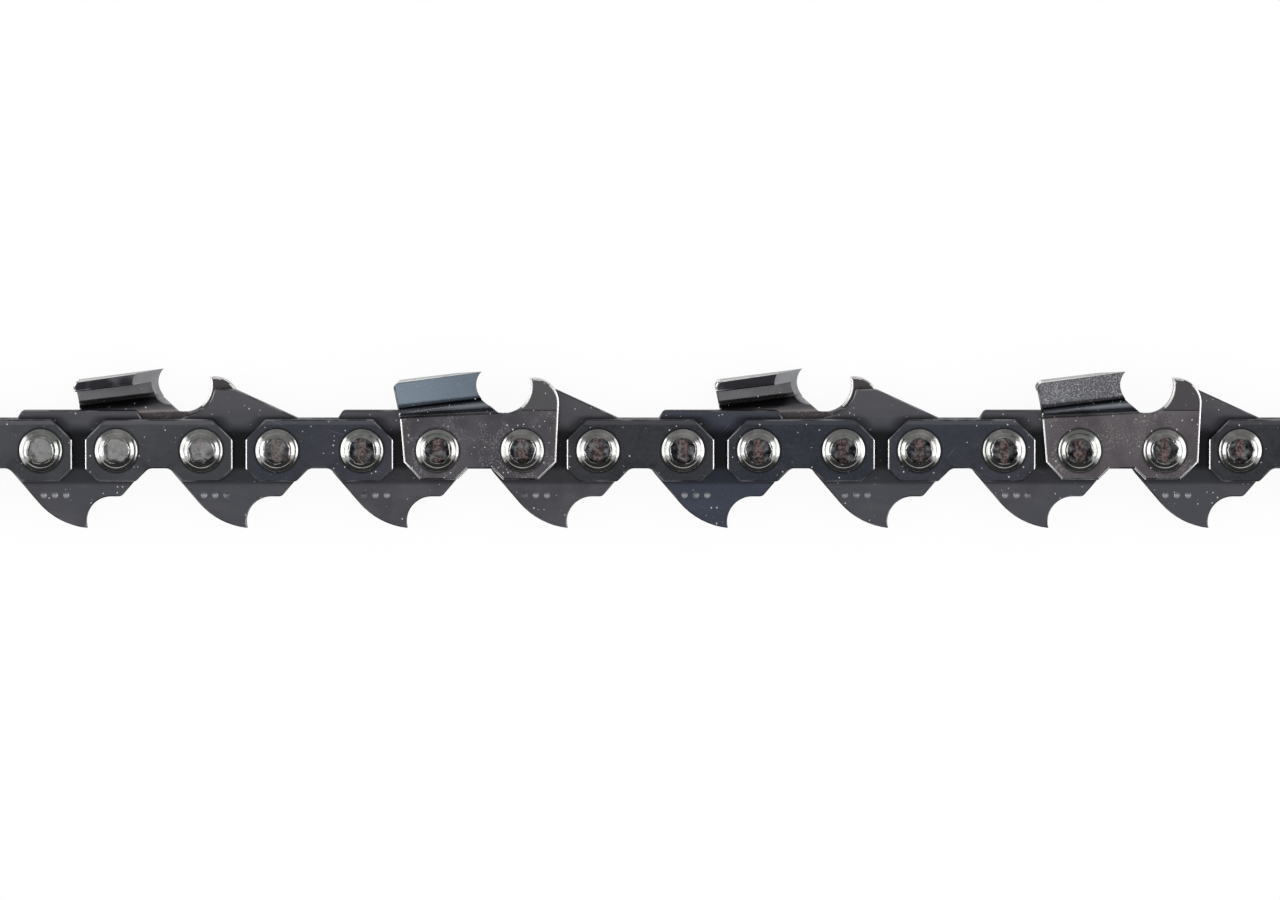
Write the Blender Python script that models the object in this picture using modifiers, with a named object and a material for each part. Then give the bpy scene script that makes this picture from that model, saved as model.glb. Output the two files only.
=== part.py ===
# Chainsaw chain, a straight length lying flat on its side.
# X runs along the chain in the cutting direction, Y from the drive tangs to the cutters,
# and Z across the chain. The origin is under the middle of the length, on the rivet line,
# at the height of the lowest point. All sizes are in metres.

import math

import bmesh
import bpy
from mathutils import Matrix

# Row of links
PITCH = 0.009525                # half the distance over three rivets
LINK_SPAN = 0.01009             # rivet to rivet in a tie strap or cutter
LINK_PAIRS = 9
FIRST_CUTTER_PAIR = 1           # then every second pair, on the two sides in turn

# Across the chain
DRIVE_THICKNESS = 0.0016
PLATE_THICKNESS = 0.0013
PLATE_CLEARANCE = 0.0001        # drive link to the plate on each side

# Rivet
HUB_RADIUS = 0.0020
HUB_CLEARANCE = 0.00004         # running clearance of the hub in the drive link
SHOULDER_RADIUS = 0.0015
SHOULDER_CLEARANCE = 0.00003
HEAD_RADIUS = 0.00258
HEAD_HEIGHT = 0.00085
HEAD_FACE_RADIUS = 0.0013       # flat left by the peening tool
HEAD_DOME_SLOPE = 10.0          # degrees, where the dome starts at the flat
HEAD_SEAT = 0.00004             # head to plate

# Tie strap, from its rivet centres
STRAP_TOP = 0.0037
STRAP_FOOT = 0.0037             # depth of the two feet
STRAP_WAIST = 0.00215           # depth of the edge between the feet
STRAP_END_GAP = 0.00152         # between the ends of neighbouring straps
STRAP_TOP_REACH = 0.00135       # top edge past the rivet
STRAP_FOOT_REACH = 0.0022       # foot past the rivet
STRAP_FOOT_INSET = 0.00228      # foot inside the rivet
STRAP_END_TOP = 0.0013
STRAP_END_BOTTOM = 0.00225
WAIST_FILLET = 0.0010           # in straps and cutters

# Drive link, from its rear hole, with the tang below
DRIVE_END_GAP = 0.00168         # between the ends of neighbouring drive links
DRIVE_END_LEAN = 0.000205       # rear end's radius over the mean, front end's under it
TANG_TIP_OFFSET = 0.00087       # tip in front of the middle
TANG_TIP_DEPTH = 0.00933
TANG_BELLY_RADIUS = 0.0087
TANG_TIP_SLOPE = 5.8            # degrees
SCOOP_RADIUS = 0.0030
TANG_HEEL_REACH = 0.00049       # past the front hole
TANG_HEEL_DEPTH = 0.00557
TANG_HEEL_LAND = 0.0005         # least straight edge between scoop and heel

# Heel support, the raised top of every second drive link
SUPPORT_RISE = 0.0003           # above the rear end's round
SUPPORT_REACH = 0.0023          # past each hole
SUPPORT_END_RUN = 0.0006
SUPPORT_END_DROP = 0.00095

# Bumper, the ramp on the other drive links
BUMPER_HEIGHT = 0.0072
BUMPER_PEAK_END = 0.0039
BUMPER_RAMP_REACH = 0.0027      # foot of the ramp past the front hole
BUMPER_FOOT_DROP = 0.00036      # foot of the ramp below the front end's round
BUMPER_NOTCH_MARGIN = 0.0005    # notch radius over the gullet radius

# Cutter, from its rear rivet
CUTTER_FOOT = 0.0035
CUTTER_WAIST = 0.00219
CUTTER_REAR_GAP = 0.00121       # rear edge, low down, to the strap behind it
CUTTER_REAR_LEAN = 0.0005       # more reach at the top of the body
CUTTER_REAR_FOOT_REACH = 0.0021
CUTTER_FRONT_GAP = 0.0012       # front edge, low down, to the strap ahead
CUTTER_FRONT_LEAN = 0.0005
CUTTER_FRONT_FOOT_REACH = 0.0019
CUTTER_END_BOTTOM = 0.0014
CUTTER_TIP_X = 0.00527
CUTTER_TIP_Y = 0.00943
TOP_SLOPE = 7.0                 # degrees, the top plate falls towards the heel
HEEL_X = -0.00517
HEEL_BEVEL = 0.0006
TOP_PLATE_OVERHANG = 0.0011     # free edge past the chain's centre plane
KERF_HALF = 0.0037              # outer face of the side plate from the centre plane
KERF_TAPER = 0.0002             # side plate nearer the centre plane at the heel
JOGGLE_LOW = 0.00440            # bend lines over the rear rivet
JOGGLE_HIGH = 0.00582
JOGGLE_LOW_SLOPE = 2.2          # degrees
JOGGLE_HIGH_SLOPE = 7.2
INNER_BEND = 0.0003             # inner radius of the joggle's bends
GULLET_INSET = 0.00224          # gullet's centre behind the front rivet
GULLET_Y = 0.00765
GULLET_RADIUS = 0.00324
GULLET_LIP_INSET = 0.00289      # where the gullet turns up, behind the front rivet
GULLET_LIP_Y = 0.0046
SIDE_FRONT_Y = 0.00611
GAUGE_HEIGHT = 0.0086
GAUGE_TIP_REACH = 0.00121       # past the front rivet
GAUGE_NOSE_RADIUS = 0.0030
FILE_RADIUS = 0.0026
FILE_RISE = 0.2                 # share of the file's diameter above the cutting corner
FILE_ANGLE = 30.0               # degrees

# Facets
ROUND_SIDES = 16
ARC_STEP = 15.0                 # degrees
BEND_STEPS = 3                  # facets round each bend of the cutter's sheet
DOME_STEPS = 2                  # bands of facets on a rivet head's dome
WELD = 0.000001
FILLET_SHARE = 0.98             # most of an edge that a fillet may take

# What follows from the sizes above
DRIVE_SPAN = 2 * PITCH - LINK_SPAN
STRAP_REACH = (DRIVE_SPAN - STRAP_END_GAP) / 2
CUTTER_REAR = DRIVE_SPAN - STRAP_REACH - CUTTER_REAR_GAP
CUTTER_FRONT_REACH = DRIVE_SPAN - STRAP_REACH - CUTTER_FRONT_GAP
DRIVE_REAR_RADIUS = (LINK_SPAN - DRIVE_END_GAP) / 2 + DRIVE_END_LEAN
DRIVE_FRONT_RADIUS = (LINK_SPAN - DRIVE_END_GAP) / 2 - DRIVE_END_LEAN
TANG_TIP_X = DRIVE_SPAN / 2 + TANG_TIP_OFFSET
TANG_HEEL_X = DRIVE_SPAN + TANG_HEEL_REACH
SUPPORT_HEIGHT = DRIVE_REAR_RADIUS + SUPPORT_RISE
BUMPER_RAMP_END = DRIVE_SPAN + BUMPER_RAMP_REACH
BUMPER_RAMP_FOOT = DRIVE_FRONT_RADIUS - BUMPER_FOOT_DROP
GULLET_X = LINK_SPAN - GULLET_INSET
GULLET_LIP_X = LINK_SPAN - GULLET_LIP_INSET
GAUGE_TIP_X = LINK_SPAN + GAUGE_TIP_REACH
PLATE_INNER = DRIVE_THICKNESS / 2 + PLATE_CLEARANCE
PLATE_MIDDLE = PLATE_INNER + PLATE_THICKNESS / 2
PLATE_OUTER = PLATE_INNER + PLATE_THICKNESS
SIDE_MIDDLE = KERF_HALF - PLATE_THICKNESS / 2
ROUND_FLAT = math.cos(math.pi / ROUND_SIDES)
DRIVE_HOLE_RADIUS = (HUB_RADIUS + HUB_CLEARANCE) / ROUND_FLAT
PLATE_HOLE_RADIUS = SHOULDER_RADIUS + SHOULDER_CLEARANCE


def new_collection(name):
    collection = bpy.data.collections.new(name)
    bpy.context.scene.collection.children.link(collection)
    return collection


def steel(name, color, roughness):
    material = bpy.data.materials.new(name)
    material.use_nodes = True
    shader = material.node_tree.nodes["Principled BSDF"]
    shader.inputs["Base Color"].default_value = (*color, 1)
    shader.inputs["Metallic"].default_value = 1
    shader.inputs["Roughness"].default_value = roughness
    return material


# Outlines in the plane of the links

def arc(center, radius, start, end, steps=None):
    steps = steps or max(1, math.ceil(abs(end - start) / ARC_STEP))
    points = []
    for i in range(steps + 1):
        angle = math.radians(start + (end - start) * i / steps)
        points.append((center[0] + radius * math.cos(angle), center[1] + radius * math.sin(angle)))
    return points


def angle_to(center, point):
    return math.degrees(math.atan2(point[1] - center[1], point[0] - center[0]))


def tangent_angle(center, radius, point, side):
    # Direction from the centre to where a line from the point touches the circle
    distance = math.hypot(point[0] - center[0], point[1] - center[1])
    return angle_to(center, point) + side * math.degrees(math.acos(radius / distance))


def round_hole(x, radius):
    step = 2 * math.pi / ROUND_SIDES
    return [(x + radius * math.cos(i * step), radius * math.sin(i * step)) for i in range(ROUND_SIDES)]


def fillet(before, corner, after, radius, steps=None):
    # Arc that replaces the corner between two straight edges, no longer than they allow
    a = (before[0] - corner[0], before[1] - corner[1])
    b = (after[0] - corner[0], after[1] - corner[1])
    a_length = math.hypot(*a)
    b_length = math.hypot(*b)
    half = math.acos((a[0] * b[0] + a[1] * b[1]) / (a_length * b_length)) / 2
    radius = min(radius, FILLET_SHARE * min(a_length, b_length) * math.tan(half))
    reach = radius / math.tan(half)
    start = (corner[0] + a[0] / a_length * reach, corner[1] + a[1] / a_length * reach)
    end = (corner[0] + b[0] / b_length * reach, corner[1] + b[1] / b_length * reach)
    bisector = (a[0] / a_length + b[0] / b_length, a[1] / a_length + b[1] / b_length)
    depth = radius / math.sin(half) / math.hypot(*bisector)
    center = (corner[0] + bisector[0] * depth, corner[1] + bisector[1] * depth)
    start_angle = angle_to(center, start)
    turn = (angle_to(center, end) - start_angle + 180) % 360 - 180
    return arc(center, radius, start_angle, start_angle + turn, steps)


def mirrored(points, middle):
    return [(2 * middle - x, y) for x, y in reversed(points)]


def strap_outline():
    foot_end = (STRAP_FOOT_INSET, -STRAP_FOOT)
    waist_corner = (STRAP_FOOT_INSET + STRAP_FOOT - STRAP_WAIST, -STRAP_WAIST)
    waist_middle = (LINK_SPAN / 2, -STRAP_WAIST)
    rear_half = [(-STRAP_TOP_REACH, STRAP_TOP),
                 (-STRAP_REACH, STRAP_END_TOP),
                 (-STRAP_REACH, -STRAP_END_BOTTOM),
                 (-STRAP_FOOT_REACH, -STRAP_FOOT),
                 foot_end]
    rear_half += fillet(foot_end, waist_corner, waist_middle, WAIST_FILLET)
    return rear_half + mirrored(rear_half, LINK_SPAN / 2)


def drive_link_outline(has_bumper):
    rear_hole = (0, 0)
    front_hole = (DRIVE_SPAN, 0)
    tip = (TANG_TIP_X, -TANG_TIP_DEPTH)
    slope = math.radians(TANG_TIP_SLOPE)
    belly_center = (tip[0] + TANG_BELLY_RADIUS * math.sin(slope),
                    tip[1] + TANG_BELLY_RADIUS * math.cos(slope))
    heel = (TANG_HEEL_X, -TANG_HEEL_DEPTH)

    # The scoop passes through the tip and runs out level with the heel
    scoop_rise = TANG_TIP_DEPTH - TANG_HEEL_DEPTH
    scoop_run = min(math.sqrt(SCOOP_RADIUS ** 2 - (SCOOP_RADIUS - scoop_rise) ** 2),
                    TANG_HEEL_X - TANG_HEEL_LAND - TANG_TIP_X)
    scoop_radius = (scoop_run ** 2 + scoop_rise ** 2) / (2 * scoop_rise)
    scoop_center = (tip[0] + scoop_run, -TANG_HEEL_DEPTH - scoop_radius)

    # The front edge of the tang touches the rear end's circle and the belly's circle
    distance = math.hypot(*belly_center)
    edge_angle = angle_to(belly_center, rear_hole) % 360 + math.degrees(
        math.acos((TANG_BELLY_RADIUS - DRIVE_REAR_RADIUS) / distance))
    belly = arc(belly_center, TANG_BELLY_RADIUS, edge_angle, 270 - TANG_TIP_SLOPE)
    scoop = arc(scoop_center, scoop_radius, angle_to(scoop_center, tip) % 360, 90)
    front_start = tangent_angle(front_hole, DRIVE_FRONT_RADIUS, heel, 1)

    if has_bumper:
        notch_center = (GULLET_X - LINK_SPAN, GULLET_Y)
        notch_radius = GULLET_RADIUS + BUMPER_NOTCH_MARGIN
        ramp_foot = (BUMPER_RAMP_END, BUMPER_RAMP_FOOT)
        reach = math.hypot(*notch_center)
        cosine = (DRIVE_REAR_RADIUS ** 2 + reach ** 2 - notch_radius ** 2) / (2 * DRIVE_REAR_RADIUS * reach)
        rear_end = angle_to(rear_hole, notch_center) + math.degrees(math.acos(min(1, cosine)))
        meeting = arc(rear_hole, DRIVE_REAR_RADIUS, rear_end, rear_end)[0]
        peak_angle = math.degrees(math.asin((BUMPER_HEIGHT - GULLET_Y) / notch_radius))
        notch = arc(notch_center, notch_radius, peak_angle, angle_to(notch_center, meeting))
        top = [ramp_foot, (BUMPER_PEAK_END, BUMPER_HEIGHT)] + notch[:-1]
        front_end = tangent_angle(front_hole, DRIVE_FRONT_RADIUS, ramp_foot, -1)
    else:
        front_shoulder = (DRIVE_SPAN + SUPPORT_REACH + SUPPORT_END_RUN, SUPPORT_HEIGHT - SUPPORT_END_DROP)
        rear_shoulder = (-SUPPORT_REACH - SUPPORT_END_RUN, SUPPORT_HEIGHT - SUPPORT_END_DROP)
        top = [front_shoulder,
               (DRIVE_SPAN + SUPPORT_REACH, SUPPORT_HEIGHT),
               (-SUPPORT_REACH, SUPPORT_HEIGHT),
               rear_shoulder]
        front_end = tangent_angle(front_hole, DRIVE_FRONT_RADIUS, front_shoulder, -1)
        rear_end = tangent_angle(rear_hole, DRIVE_REAR_RADIUS, rear_shoulder, 1)

    front = arc(front_hole, DRIVE_FRONT_RADIUS, front_start, front_end)
    rear = arc(rear_hole, DRIVE_REAR_RADIUS, rear_end, edge_angle)
    return belly + scoop[1:] + [heel] + front + top + rear


def cutter_side_outline():
    # Everything of the cutter that the side view shows, with room above the top plate
    above = CUTTER_TIP_Y + PLATE_THICKNESS
    gullet = (GULLET_X, GULLET_Y)
    lip = (GULLET_LIP_X, GULLET_LIP_Y)
    front_x = LINK_SPAN + CUTTER_FRONT_REACH
    gauge_corner = (front_x + CUTTER_FRONT_LEAN, GAUGE_HEIGHT)
    gauge_tip = (GAUGE_TIP_X, GAUGE_HEIGHT)
    gullet_start = math.degrees(math.acos((GAUGE_TIP_X - GULLET_X) / math.hypot(
        GAUGE_TIP_X - GULLET_X, GAUGE_HEIGHT - GULLET_Y)))
    rear_y = CUTTER_TIP_Y - (CUTTER_TIP_X - HEEL_X) * math.tan(math.radians(TOP_SLOPE))
    waist_rear = (STRAP_FOOT_INSET + CUTTER_FOOT - CUTTER_WAIST, -CUTTER_WAIST)
    waist_front = (LINK_SPAN - waist_rear[0], -CUTTER_WAIST)
    waist_middle = (LINK_SPAN / 2, -CUTTER_WAIST)
    rear_foot = (STRAP_FOOT_INSET, -CUTTER_FOOT)
    front_foot = (LINK_SPAN - STRAP_FOOT_INSET, -CUTTER_FOOT)

    outline = [(-CUTTER_REAR, -CUTTER_END_BOTTOM), (-CUTTER_REAR_FOOT_REACH, -CUTTER_FOOT), rear_foot]
    outline += fillet(rear_foot, waist_rear, waist_middle, WAIST_FILLET)
    outline += fillet(waist_middle, waist_front, front_foot, WAIST_FILLET)
    outline += [front_foot,
                (LINK_SPAN + CUTTER_FRONT_FOOT_REACH, -CUTTER_FOOT),
                (front_x, -CUTTER_END_BOTTOM)]
    outline += fillet((front_x, 0), gauge_corner, gauge_tip, GAUGE_NOSE_RADIUS)
    outline += [gauge_tip]
    outline += arc(gullet, GULLET_RADIUS, gullet_start, angle_to(gullet, lip))
    outline += [(CUTTER_TIP_X, SIDE_FRONT_Y),
                (CUTTER_TIP_X + PLATE_THICKNESS / 2, above),
                (HEEL_X + HEEL_BEVEL + PLATE_THICKNESS, above),
                (HEEL_X, rear_y - HEEL_BEVEL),
                (-CUTTER_REAR - CUTTER_REAR_LEAN, JOGGLE_LOW)]
    return outline


# Meshes

def evaluated_mesh(thing, name):
    # The object's mesh with its modifiers, welded; the object itself is removed
    bpy.context.view_layer.update()
    graph = bpy.context.evaluated_depsgraph_get()
    mesh = bpy.data.meshes.new_from_object(thing.evaluated_get(graph))
    mesh.name = name
    bm = bmesh.new()
    bm.from_mesh(mesh)
    bmesh.ops.remove_doubles(bm, verts=bm.verts, dist=WELD)
    bm.to_mesh(mesh)
    bm.free()
    bpy.data.objects.remove(thing)
    return mesh


def shaded(mesh):
    mesh.shade_smooth()
    mesh.set_sharp_from_angle(angle=math.radians(2 * ARC_STEP))
    return mesh


def extruded_outline(name, loops, thickness):
    curve = bpy.data.curves.new(name, "CURVE")
    curve.dimensions = "2D"
    curve.fill_mode = "BOTH"
    curve.extrude = thickness / 2
    for loop in loops:
        spline = curve.splines.new("POLY")
        spline.points.add(len(loop) - 1)
        for point, (x, y) in zip(spline.points, loop):
            point.co = (x, y, 0, 1)
        spline.use_cyclic_u = True
    thing = bpy.data.objects.new(name, curve)
    bpy.context.scene.collection.objects.link(thing)
    return evaluated_mesh(thing, name)


def strap_mesh():
    holes = [round_hole(0, PLATE_HOLE_RADIUS), round_hole(LINK_SPAN, PLATE_HOLE_RADIUS)]
    return shaded(extruded_outline("tie_strap", [strap_outline()] + holes, PLATE_THICKNESS))


def drive_link_mesh(name, has_bumper):
    holes = [round_hole(0, DRIVE_HOLE_RADIUS), round_hole(DRIVE_SPAN, DRIVE_HOLE_RADIUS)]
    return shaded(extruded_outline(name, [drive_link_outline(has_bumper)] + holes, DRIVE_THICKNESS))


def rivet_mesh():
    seat = PLATE_OUTER + HEAD_SEAT
    hub_half = DRIVE_THICKNESS / 2 + PLATE_CLEARANCE / 2
    face_edge = (HEAD_FACE_RADIUS, PLATE_OUTER + HEAD_HEIGHT)
    rim = (HEAD_RADIUS, seat)
    chord_slope = -angle_to(face_edge, rim)
    half_sweep = math.radians(chord_slope - HEAD_DOME_SLOPE)
    dome_radius = math.dist(face_edge, rim) / (2 * math.sin(half_sweep))
    dome_start = math.radians(HEAD_DOME_SLOPE)
    dome_center = (face_edge[0] - dome_radius * math.sin(dome_start),
                   face_edge[1] - dome_radius * math.cos(dome_start))
    upper = [(0, PLATE_OUTER + HEAD_HEIGHT)]
    upper += arc(dome_center, dome_radius, 90 - HEAD_DOME_SLOPE,
                 90 - 2 * chord_slope + HEAD_DOME_SLOPE, DOME_STEPS)
    upper += [(SHOULDER_RADIUS, seat),
              (SHOULDER_RADIUS, hub_half),
              (HUB_RADIUS, hub_half)]
    profile = upper + [(x, -z) for x, z in reversed(upper)]
    mesh = bpy.data.meshes.new("rivet_profile")
    bm = bmesh.new()
    points = [bm.verts.new((x, 0, z)) for x, z in profile]
    for first, second in zip(points, points[1:]):
        bm.edges.new((first, second))
    bm.to_mesh(mesh)
    bm.free()
    thing = bpy.data.objects.new("rivet_profile", mesh)
    bpy.context.scene.collection.objects.link(thing)
    screw = thing.modifiers.new("Turn", "SCREW")
    screw.steps = ROUND_SIDES
    screw.render_steps = ROUND_SIDES
    screw.use_merge_vertices = True
    screw.merge_threshold = WELD
    return shaded(evaluated_mesh(thing, "rivet"))


def bent_section(x):
    # Middle line of the cutter's bent sheet at one place along it, as (height, distance outwards).
    # The joggle is bent round, and the side plate meets the top plate in a square cutting corner.
    low = JOGGLE_LOW + x * math.tan(math.radians(JOGGLE_LOW_SLOPE))
    high = JOGGLE_HIGH + x * math.tan(math.radians(JOGGLE_HIGH_SLOPE))
    top = CUTTER_TIP_Y - (CUTTER_TIP_X - x) * math.tan(math.radians(TOP_SLOPE)) - PLATE_THICKNESS / 2
    side = SIDE_MIDDLE - KERF_TAPER * (CUTTER_TIP_X - x) / (CUTTER_TIP_X - HEEL_X)
    foot = (-CUTTER_FOOT - PLATE_THICKNESS, PLATE_MIDDLE)
    joggle_start = (low, PLATE_MIDDLE)
    joggle_end = (high, side)
    corner = (top, side)
    free_edge = (top, -TOP_PLATE_OVERHANG)
    bend = INNER_BEND + PLATE_THICKNESS / 2
    return ([foot]
            + fillet(foot, joggle_start, joggle_end, bend, BEND_STEPS)
            + fillet(joggle_start, joggle_end, corner, bend, BEND_STEPS)
            + [corner, free_edge])


def bent_sheet_mesh(name, side):
    # Open surface from behind the heel to the gullet. side is 1 for a near cutter, -1 for a far one.
    places = (HEEL_X - PLATE_THICKNESS, GULLET_X)
    mesh = bpy.data.meshes.new(name)
    bm = bmesh.new()
    rear, front = [[bm.verts.new((x, y, side * z)) for y, z in bent_section(x)] for x in places]
    for i in range(len(rear) - 1):
        bm.faces.new((rear[i], rear[i + 1], front[i + 1], front[i]))
    bm.to_mesh(mesh)
    bm.free()
    return mesh


def blank_mesh(name):
    # Flat sheet from the bottom of the gullet to past the front
    rear_x = GULLET_LIP_X
    front_x = LINK_SPAN + 2 * CUTTER_FRONT_REACH
    bottom = -CUTTER_FOOT - PLATE_THICKNESS
    top = GAUGE_HEIGHT + PLATE_THICKNESS
    corners = [(rear_x, bottom), (front_x, bottom), (front_x, top), (rear_x, top)]
    return extruded_outline(name, [corners], PLATE_THICKNESS)


def file_mesh(name):
    bm = bmesh.new()
    bmesh.ops.create_cone(bm, cap_ends=True, segments=2 * ROUND_SIDES,
                          radius1=FILE_RADIUS, radius2=FILE_RADIUS, depth=6 * KERF_HALF)
    mesh = bpy.data.meshes.new(name)
    bm.to_mesh(mesh)
    bm.free()
    return mesh


def cutter_mesh(name, side, tools):
    # Bent and thickened sheet, joined to the flat front, trimmed to the side outline and filed
    cutter = bpy.data.objects.new(name, bent_sheet_mesh(name + "_sheet", side))
    bpy.context.scene.collection.objects.link(cutter)
    solidify = cutter.modifiers.new("Sheet", "SOLIDIFY")
    solidify.thickness = PLATE_THICKNESS
    solidify.offset = 0
    solidify.use_even_offset = True

    blank = blank_mesh(name + "_front")
    add_boolean(cutter, "UNION", blank, Matrix.Translation((0, 0, side * PLATE_MIDDLE)), tools)

    holes = [round_hole(0, PLATE_HOLE_RADIUS), round_hole(LINK_SPAN, PLATE_HOLE_RADIUS)]
    outline = extruded_outline(name + "_outline", [cutter_side_outline()] + holes, 4 * KERF_HALF)
    add_boolean(cutter, "INTERSECT", outline, Matrix.Identity(4), tools)

    angle = math.radians(FILE_ANGLE)
    file_drop = FILE_RADIUS - 2 * FILE_RADIUS * FILE_RISE
    file_x = CUTTER_TIP_X + math.sqrt(FILE_RADIUS ** 2 - file_drop ** 2) / math.cos(angle)
    place = Matrix.Translation((file_x, CUTTER_TIP_Y - file_drop, side * KERF_HALF))
    add_boolean(cutter, "DIFFERENCE", file_mesh(name + "_file"),
                place @ Matrix.Rotation(side * angle, 4, "Y"), tools)
    return shaded(evaluated_mesh(cutter, name))


def add_boolean(thing, operation, mesh, place, tools):
    tool = bpy.data.objects.new(mesh.name, mesh)
    tool.matrix_world = place
    tool.hide_render = True
    tool.display_type = "WIRE"
    tools.objects.link(tool)
    boolean = thing.modifiers.new(mesh.name, "BOOLEAN")
    boolean.operation = operation
    boolean.object = tool


# Assembly

def add_pivot(name, x, parent, collection):
    # Empty on the pin that its body turns about, carried by the body before it
    pivot = bpy.data.objects.new(name, None)
    pivot.empty_display_size = HUB_RADIUS
    collection.objects.link(pivot)
    pivot.location = (x, 0, KERF_HALF)
    if parent:
        pivot.parent = parent["empty"]
        pivot.location = (x - parent["x"], 0, 0)
    return {"empty": pivot, "x": x}


def add_piece(name, mesh, material, x, z, pivot, collection):
    piece = bpy.data.objects.new(name, mesh)
    if not mesh.materials:
        mesh.materials.append(material)
    collection.objects.link(piece)
    piece.parent = pivot["empty"]
    piece.location = (x - pivot["x"], 0, z)
    return piece


def plate_kind(pair, side):
    # Cutters sit in every second pair, on the far side first and then on the near side
    turn, rest = divmod(pair - FIRST_CUTTER_PAIR, 2)
    if rest == 0 and turn >= 0 and (turn % 2 == 0) == (side < 0):
        return "cutter"
    return "tie_strap"


def add_link_pair(pair, x, pivot, meshes, materials, collection):
    for side, side_name in ((1, "near"), (-1, "far")):
        kind = plate_kind(pair, side)
        name = f"{side_name}_{kind}_{pair}"
        if kind == "cutter":
            add_piece(name, meshes[side_name + "_cutter"], materials["cutter"], x, 0, pivot, collection)
        else:
            add_piece(name, meshes["tie_strap"], materials["link"], x, side * PLATE_MIDDLE, pivot,
                      collection)
    for end_name, rivet_x in (("rear", x), ("front", x + LINK_SPAN)):
        name = f"rivet_{pair}_{end_name}"
        add_piece(name, meshes["rivet"], materials["rivet"], rivet_x, 0, pivot, collection)


def add_drive_link(number, x, pivot, meshes, materials, collection):
    kind = "bumper_drive_link" if number % 2 == 0 else "support_drive_link"
    add_piece(f"drive_link_{number}", meshes[kind], materials["link"], x, 0, pivot, collection)


def build_chain():
    for thing in list(bpy.data.objects):
        bpy.data.objects.remove(thing)
    collection = new_collection("chainsaw_chain")
    tools = new_collection("cutting_tools")
    materials = {"link": steel("dark_link_steel", (0.055, 0.055, 0.065), 0.42),
                 "cutter": steel("chromed_cutter_steel", (0.24, 0.25, 0.27), 0.33),
                 "rivet": steel("bright_rivet_steel", (0.42, 0.42, 0.44), 0.25)}
    meshes = {"tie_strap": strap_mesh(),
              "bumper_drive_link": drive_link_mesh("bumper_drive_link", True),
              "support_drive_link": drive_link_mesh("support_drive_link", False),
              "rivet": rivet_mesh(),
              "near_cutter": cutter_mesh("near_cutter", 1, tools),
              "far_cutter": cutter_mesh("far_cutter", -1, tools)}

    # The middle link pair stays, and each arm hangs on from it, link by link
    middle = LINK_PAIRS // 2
    middle_x = -LINK_SPAN / 2
    root = add_pivot(f"pivot_link_pair_{middle}", middle_x, None, collection)
    add_link_pair(middle, middle_x, root, meshes, materials, collection)

    carrier = root
    for number in range(middle + 1, LINK_PAIRS + 1):
        x = middle_x + LINK_SPAN + (number - middle - 1) * 2 * PITCH
        carrier = add_pivot(f"pivot_drive_link_{number}", x, carrier, collection)
        add_drive_link(number, x, carrier, meshes, materials, collection)
        if number < LINK_PAIRS:
            carrier = add_pivot(f"pivot_link_pair_{number}", x + DRIVE_SPAN, carrier, collection)
            add_link_pair(number, x + DRIVE_SPAN, carrier, meshes, materials, collection)

    carrier = root
    for number in range(middle, -1, -1):
        x = middle_x - DRIVE_SPAN - (middle - number) * 2 * PITCH
        carrier = add_pivot(f"pivot_drive_link_{number}", x + DRIVE_SPAN, carrier, collection)
        add_drive_link(number, x, carrier, meshes, materials, collection)
        if number > 0:
            carrier = add_pivot(f"pivot_link_pair_{number - 1}", x, carrier, collection)
            add_link_pair(number - 1, x - LINK_SPAN, carrier, meshes, materials, collection)


build_chain()
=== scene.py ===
import math

import bmesh
import bpy
from mathutils import Matrix, Vector


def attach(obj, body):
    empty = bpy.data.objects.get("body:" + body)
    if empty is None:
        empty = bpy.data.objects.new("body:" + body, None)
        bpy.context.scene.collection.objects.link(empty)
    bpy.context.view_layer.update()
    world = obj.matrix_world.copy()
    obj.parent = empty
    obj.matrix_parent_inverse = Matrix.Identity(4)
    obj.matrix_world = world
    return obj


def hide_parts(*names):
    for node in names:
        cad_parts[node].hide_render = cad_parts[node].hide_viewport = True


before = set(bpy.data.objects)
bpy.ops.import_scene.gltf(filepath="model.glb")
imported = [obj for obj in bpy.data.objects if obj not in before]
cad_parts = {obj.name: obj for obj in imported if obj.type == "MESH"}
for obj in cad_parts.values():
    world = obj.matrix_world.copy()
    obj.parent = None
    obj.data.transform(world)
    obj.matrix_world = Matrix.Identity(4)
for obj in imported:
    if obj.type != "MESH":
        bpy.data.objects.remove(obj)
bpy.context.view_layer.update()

# A length of saw chain lying on its side. Pieces are modelled in millimetres round their own
# rear rivet and then placed. X runs in the cutting direction and Y from the tangs to the cutters.
mm = 0.001
chain = {
    "halfPitch": 9.525,
    "linkSpan": 10.09,        # rivet to rivet in a strap or cutter
    "pairs": 9,
    "middleHeight": 3.7,      # of the middle plane above the floor
    "plateInner": 0.9,        # from the middle plane
    "plateThick": 1.3,
    "plateHole": 1.53,
    "holeSides": 48,
    "arcStep": 6,             # degrees
    "penWeld": 0.02,          # joins the ends of drawn strokes
    "weld": 0.0005,
}
driveSpan = 2 * chain["halfPitch"] - chain["linkSpan"]
plateMiddle = chain["plateInner"] + chain["plateThick"] / 2
cutterPairs = {1: "far", 3: "near", 5: "far", 7: "near"}


def pairX(pair):
    return (pair - 4) * 2 * chain["halfPitch"] - chain["linkSpan"] / 2


def driveX(number):
    return pairX(number) - driveSpan


# Shader maths

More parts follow.
